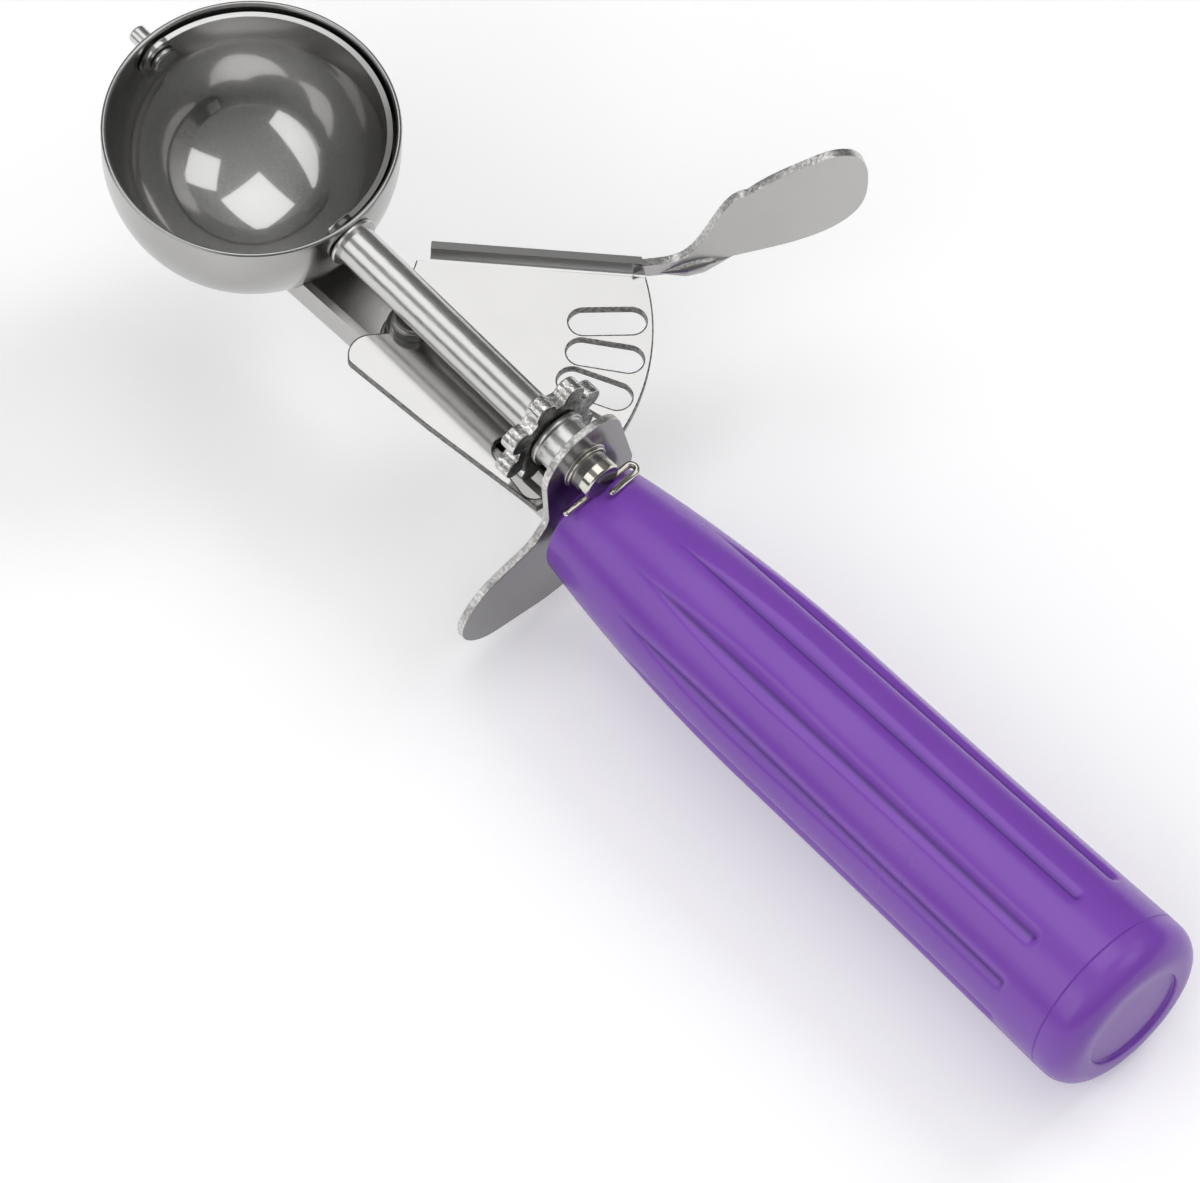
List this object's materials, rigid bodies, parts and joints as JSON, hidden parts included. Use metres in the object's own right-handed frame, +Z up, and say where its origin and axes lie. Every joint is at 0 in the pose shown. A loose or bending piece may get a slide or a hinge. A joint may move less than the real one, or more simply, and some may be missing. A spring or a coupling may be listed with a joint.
{
  "type": "portion scoop",
  "caption": "Thumb-press portion scoop: a lever's slotted sector turns a pinion and shaft that sweep a blade round the inside of a hemispherical bowl on a fluted handle.",
  "frame": {"origin": "under the centre of the bowl, on the floor plane through the finger rest's foot, in the upright plane of the drive shaft", "axes": "+X along the drive shaft from the bowl towards the handle, +Y towards the thumb pad, +Z up from the floor to the bowl's rim"},
  "size_m": [0.2022, 0.0816, 0.0425],
  "materials": {
    "bowl_steel": "polished inside, satin outside",
    "blade_steel": "polished",
    "pin_steel": "turned",
    "shaft_steel": "turned and polished",
    "washer_steel": "turned",
    "pinion_steel": "cast, tumbled",
    "bush_steel": "turned",
    "bracket_steel": "polished",
    "clip_wire": "nickelled wire",
    "shank_steel": "polished",
    "spring_wire": "drawn wire",
    "lever_steel": "polished plate, cut edges",
    "grip_plastic": "semi-gloss moulded",
    "stud_steel": "plain"
  },
  "bodies": {
    "frame": {"bowl": "bowl_steel", "shank": "shank_steel", "bracket": "bracket_steel", "bearing_bush": "bush_steel", "lever_post": "pin_steel", "post_spacer": "bush_steel", "return_spring": "spring_wire", "grip_stud": "stud_steel", "stud_washer": "stud_steel", "stud_nut": "stud_steel", "handle_body": "grip_plastic", "end_cap": "grip_plastic", "spring_clip": "clip_wire"},
    "lever": {"thumb_lever": "lever_steel"},
    "rotor": {"drive_shaft": "shaft_steel", "nose_washer": "washer_steel", "pinion": "pinion_steel", "retaining_washer": "washer_steel", "sweep_blade": "blade_steel", "far_pin": "pin_steel"}
  },
  "joints": [
    {"name": "lever_press", "type": "hinge", "parent": "frame", "child": "lever", "pos_m": [0.0336, 0, 0.0229], "axis": [0, 0, -1], "range_deg": [0, 46.4], "stiffness_Nm_per_rad": 0.08, "springref_deg": -28.65, "deforming": ["return_spring"]},
    {"name": "blade_turn", "type": "hinge", "parent": "frame", "child": "rotor", "pos_m": [0, 0, 0.031], "axis": [-1, 0, 0], "range_deg": [0, 180]}
  ],
  "couplings": [
    {"joint": "blade_turn", "follows": "lever_press", "ratio": 3.8793}
  ]
}
